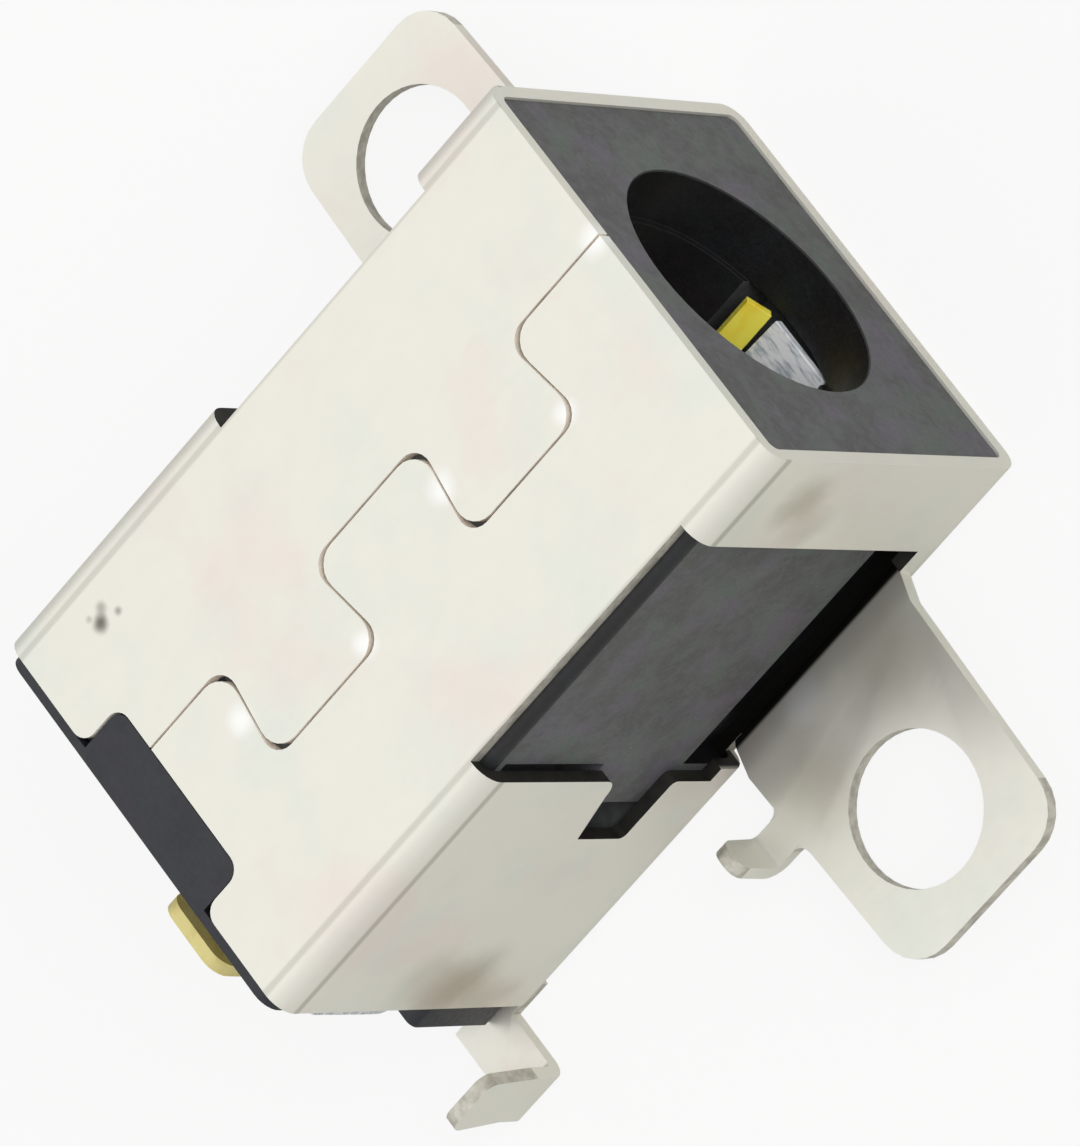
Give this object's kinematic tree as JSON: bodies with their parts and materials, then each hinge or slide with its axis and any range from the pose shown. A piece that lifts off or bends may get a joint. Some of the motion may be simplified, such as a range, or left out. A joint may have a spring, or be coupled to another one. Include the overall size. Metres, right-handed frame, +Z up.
{
  "type": "dc barrel jack",
  "caption": "Shielded power jack: a round plug bore with a centre pin, in a folded sheet shell with screw ears and upturned solder legs.",
  "frame": {"origin": "middle of the underside of the whole part: on the plane of the shell's floor, halfway across and halfway from the plug face to the last terminal", "axes": "+Z up, from the shell's floor to its top face with the seam; +Y the way the plug goes in; X across, from ear to ear"},
  "size_m": [0.0222, 0.0192, 0.0086],
  "materials": {
    "nickel_sheet": "nickel-plated sheet, satin, with pale dull plating and brown stains",
    "housing_plastic": "moulded dark grey plastic, matt, with a fine glass-fibre mottle",
    "cover_plastic": "moulded black plastic, matt",
    "plated_pin": "turned and nickel plated",
    "gold_plate": "gold-flashed strip, bright",
    "spring_strip": "plated spring strip, bright, with fine wiping marks"
  },
  "bodies": {
    "root": {"shield_shell": "nickel_sheet", "housing": "housing_plastic", "rear_cover": "cover_plastic", "centre_pin": "plated_pin", "pin_terminal": "gold_plate", "sleeve_spring": "spring_strip", "switch_contact": "gold_plate"}
  },
  "joints": []
}
